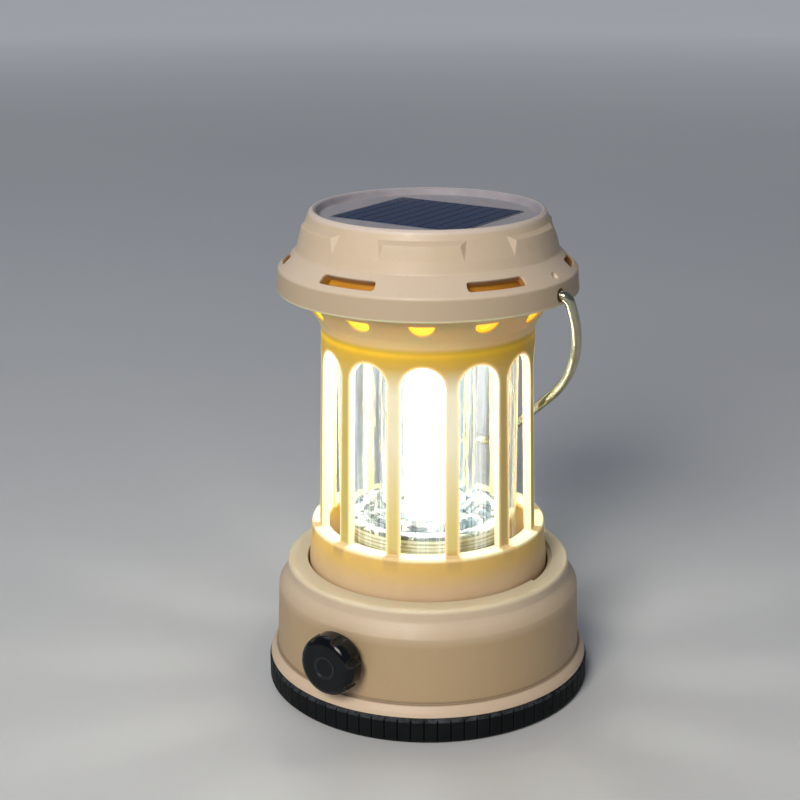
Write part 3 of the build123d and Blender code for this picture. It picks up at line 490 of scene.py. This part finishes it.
def solar_silicon():
    """Crystal grains under resin, with fine pale contact fingers."""
    f = Finish("solar_silicon", IOR=1.5, Specular_IOR_Level=0.25, Coat_Weight=0.08, Coat_Roughness=0.12)
    grains = f.add("TexVoronoi", Vector=f.coords, Scale=1.0 / CELL_GRAIN)
    tone = f.add("SeparateColor", Color=grains.outputs["Color"]).outputs["Red"]
    colour = f.mix(tone, (0.003, 0.013, 0.050), (0.008, 0.030, 0.105))
    fingers = f.maths("FRACT", f.product(f.axes()[1], 1.0 / FINGER_PITCH))
    lines = f.remap(f.maths("ABSOLUTE", f.maths("SUBTRACT", fingers, 0.5)), 0.44, 0.48)
    f.set("Base_Color", f.mix(f.product(lines, 0.35), colour, (0.16, 0.19, 0.26)))
    f.set("Roughness", f.remap(tone, 0.0, 1.0, 0.22, 0.36))
    f.bump(f.noise(0.002), distance=0.00004, strength=0.4)
    return f.mat


def solar_carrier():
    f = Finish("solar_carrier", IOR=1.5, Specular_IOR_Level=0.35, Coat_Weight=0.15, Coat_Roughness=0.15)
    colour = f.marbled(0.003, (0.05, 0.065, 0.10), (0.09, 0.11, 0.16))
    f.set("Base_Color", f.edged(colour, (0.32, 0.33, 0.36), radius=0.0004, strength=0.5))
    f.set("Roughness", f.mottled(0.0016, 0.25, 0.42))
    f.bump(f.noise(0.0008, detail=2.0), distance=0.00004, strength=0.5)
    return f.mat


def clear_plastic():
    """Clear parts with upright streaks that catch the lamp's light inside the outer cover."""
    f = Finish("clear_plastic", IOR=1.49, Transmission_Weight=1.0)
    streak = f.noise(0.004, detail=4.0, rough=0.6, stretch=(1.0, 1.0, 0.06))
    f.set("Base_Color", f.mix(f.remap(streak, 0.35, 0.65), (0.94, 0.98, 0.985), (0.985, 0.99, 0.985)))
    f.set("Roughness", f.remap(streak, 0.45, 0.75, 0.01, 0.06))
    fine = f.noise(0.0022, rough=0.6, stretch=(1.0, 1.0, 0.03))
    lit = f.product(f.remap(fine, 0.50, 0.64, smooth=True), f.remap(f.axes()[2], *LAMP_FOOT_FADE),
                    f.remap(f.radius(), *LAMP_RADIUS_FADE))
    f.set("Emission_Color", f.mix(lit, BLACK, (0.80, 0.93, 1.0)))
    f.set("Emission_Strength", 0.28)
    f.bump(streak, distance=0.0002, strength=0.35)
    f.let_lamps_through()
    return f.mat


def white_plastic():
    """Satin white. The pedestal's top is glassy with swirling rings, painted dark and pale as reflections,
    and its wall has level lines.
    """
    f = Finish("white_plastic", IOR=1.5, Coat_Weight=0.4, Coat_Roughness=0.2)
    z = f.axes()[2]
    swirl = f.maths("ADD", f.product(f.radius(), RING_RATE),
                    f.product(f.noise(0.009, detail=4.0, rough=0.6, distortion=1.5), SWIRL))
    rings = f.remap(f.maths("SINE", swirl), -0.6, 0.7, smooth=True)
    pedestal = f.remap(z, *PEDESTAL_FADE)
    colour = f.marbled(0.01, (0.82, 0.83, 0.80), (0.90, 0.90, 0.87))
    # Dark and pale swirling rings on the pedestal's top: painted reflection.
    colour = f.mix(pedestal, colour, f.mix(rings, (0.09, 0.13, 0.16), (0.86, 0.89, 0.88)))
    lines = f.remap(f.maths("SINE", f.product(z, WALL_LINE_RATE)), 0.2, 0.9)
    wall = f.product(f.remap(z, *PEDESTAL_WALL_FADE), pedestal)
    f.set("Base_Color", f.mix(wall, colour, f.mix(lines, (0.88, 0.89, 0.78), (0.50, 0.53, 0.40))))
    f.set("Roughness", f.mottled(0.003, 0.14, 0.3))
    height = f.maths("ADD", f.noise(0.0012), f.product(rings, 2.0))
    f.bump(height, distance=0.00006, strength=0.5, normal=f.rounded(0.0004))
    return f.mat


def glowing_diffuser():
    f = Finish("glowing_diffuser", IOR=1.49, Roughness=0.5, Emission_Strength=30.0)
    streak = f.noise(0.003, detail=4.0, rough=0.6, stretch=(1.0, 1.0, 0.1))
    frosted = f.remap(streak, *NOISE_SPAN)
    f.set("Base_Color", f.mix(frosted, (0.95, 0.93, 0.86), (1.0, 0.99, 0.95)))
    f.set("Emission_Color", f.mix(frosted, (1.0, 0.93, 0.80), (1.0, 0.97, 0.90)))
    f.bump(streak, distance=0.0002, strength=0.5)
    return f.mat


def led_phosphor():
    f = Finish("led_phosphor", Roughness=0.4, Emission_Strength=8.0)
    colour = f.marbled(0.001, (1.0, 0.82, 0.30), (1.0, 0.90, 0.45), detail=3.0)
    f.set("Base_Color", colour)
    f.set("Emission_Color", colour)
    f.bump(f.noise(0.0006), distance=0.00003, strength=0.4)
    return f.mat


def inner(name, dark, light, rough=0.5, size=0.003, coat=0.0):
    """Plain moulded or coated parts inside the lantern."""
    f = Finish(name, IOR=1.5, Coat_Weight=coat)
    colour = f.marbled(size, dark, light, detail=5.0, rough=0.65)
    f.set("Base_Color", f.edged(colour, times(light, 1.5, 0.02), radius=0.0003, strength=0.4))
    f.set("Roughness", f.mottled(size * 0.5, rough - 0.1, rough + 0.12))
    f.bump(f.noise(size * 0.2), distance=0.00004, strength=0.5, normal=f.rounded(0.0002))
    return f.mat


FINISHES = (
    beige_plastic, cage_plastic, black_rubber, gloss_black, solar_carrier, solar_silicon, clear_plastic,
    white_plastic, glowing_diffuser, led_phosphor,
)
METALS = {
    "polished_steel": dict(colour=(0.40, 0.385, 0.29), tint=(0.52, 0.50, 0.39), rough=0.17),
    "plated_steel": dict(colour=(0.50, 0.50, 0.48), tint=(0.62, 0.61, 0.58), rough=0.34),
    "turned_aluminium": dict(colour=(0.66, 0.66, 0.66), tint=(0.76, 0.76, 0.75), rough=0.28),
}
INNER = {
    "circuit_board": dict(dark=(0.01, 0.07, 0.03), light=(0.02, 0.12, 0.05), rough=0.4, size=0.002, coat=0.4),
    "component_black": dict(dark=(0.015, 0.015, 0.017), light=(0.035, 0.035, 0.04)),
    "battery_sleeve": dict(dark=(0.01, 0.05, 0.16), light=(0.02, 0.08, 0.24), rough=0.35, size=0.004,
                           coat=0.5),
    "lead_insulation": dict(dark=(0.30, 0.01, 0.01), light=(0.42, 0.03, 0.02), rough=0.45, size=0.002),
}


def paint_nodes():
    """Gives each CAD node the procedural finish of its material slot."""
    made = {build.__name__: build() for build in FINISHES}
    made.update({name: metal(name, **values) for name, values in METALS.items()})
    made.update({name: inner(name, **values) for name, values in INNER.items()})
    for node in NODES.values():
        for place in node.material_slots:
            slot = place.material.name.split(".")[0]
            place.material = made[slot]


# ---------------------------------------------------------------- studio

def pale_floor():
    """A plain floor whose far part glows a little, in place of a lit backdrop."""
    mesh = bpy.data.meshes.new("floor")
    half = FLOOR_HALF_SIDE
    corners = [(x, y, FLOOR_Z) for x, y in ((-half, -half), (half, -half), (half, half), (-half, half))]
    mesh.from_pydata(corners, [], [(0, 1, 2, 3)])
    floor = bpy.data.objects.new("floor", mesh)
    bpy.context.scene.collection.objects.link(floor)
    f = Finish("floor", Roughness=0.75, Specular_IOR_Level=0.3)
    f.set("Base_Color", f.marbled(0.4, (0.56, 0.56, 0.57), (0.60, 0.60, 0.60), detail=3.0))
    f.set("Emission_Color", f.mix(f.remap(f.radius(), *FLOOR_GLOW_RADII), BLACK, FLOOR_GLOW_COLOUR))
    f.set("Emission_Strength", FLOOR_GLOW_STRENGTH)
    floor.data.materials.append(f.mat)


def softbox(name, location, side, power, colour):
    data = bpy.data.lights.new(name, "AREA")
    data.shape = "RECTANGLE"
    data.size = side
    data.size_y = side
    data.energy = power
    data.color = colour
    lamp = bpy.data.objects.new(name, data)
    lamp.location = location
    lamp.rotation_euler = (Vector(SOFTBOX_AIM) - Vector(location)).to_track_quat("-Z", "Y").to_euler()
    bpy.context.scene.collection.objects.link(lamp)


def studio():
    world = bpy.data.worlds.new("studio")
    bpy.context.scene.world = world
    world.use_nodes = True
    sky = world.node_tree.nodes["Background"]
    sky.inputs["Color"].default_value = SKY_COLOUR
    sky.inputs["Strength"].default_value = SKY_STRENGTH
    bpy.context.scene.view_settings.view_transform = "Standard"
    for box in SOFTBOXES:
        softbox(*box)
    pale_floor()


def main_camera():
    data = bpy.data.cameras.new("camera")
    data.sensor_width = SENSOR_MM
    data.lens = LENS_MM
    data.shift_x = SHIFT_X
    camera = bpy.data.objects.new("camera", data)
    azimuth = math.radians(VIEW_AZIMUTH)
    camera.location = (VIEW_DISTANCE * math.sin(azimuth), -VIEW_DISTANCE * math.cos(azimuth), VIEW_HEIGHT)
    camera.rotation_euler = (math.radians(90.0 - VIEW_PITCH), 0.0, azimuth)
    bpy.context.scene.collection.objects.link(camera)
    bpy.context.scene.camera = camera


main_camera()
paint_nodes()
studio()
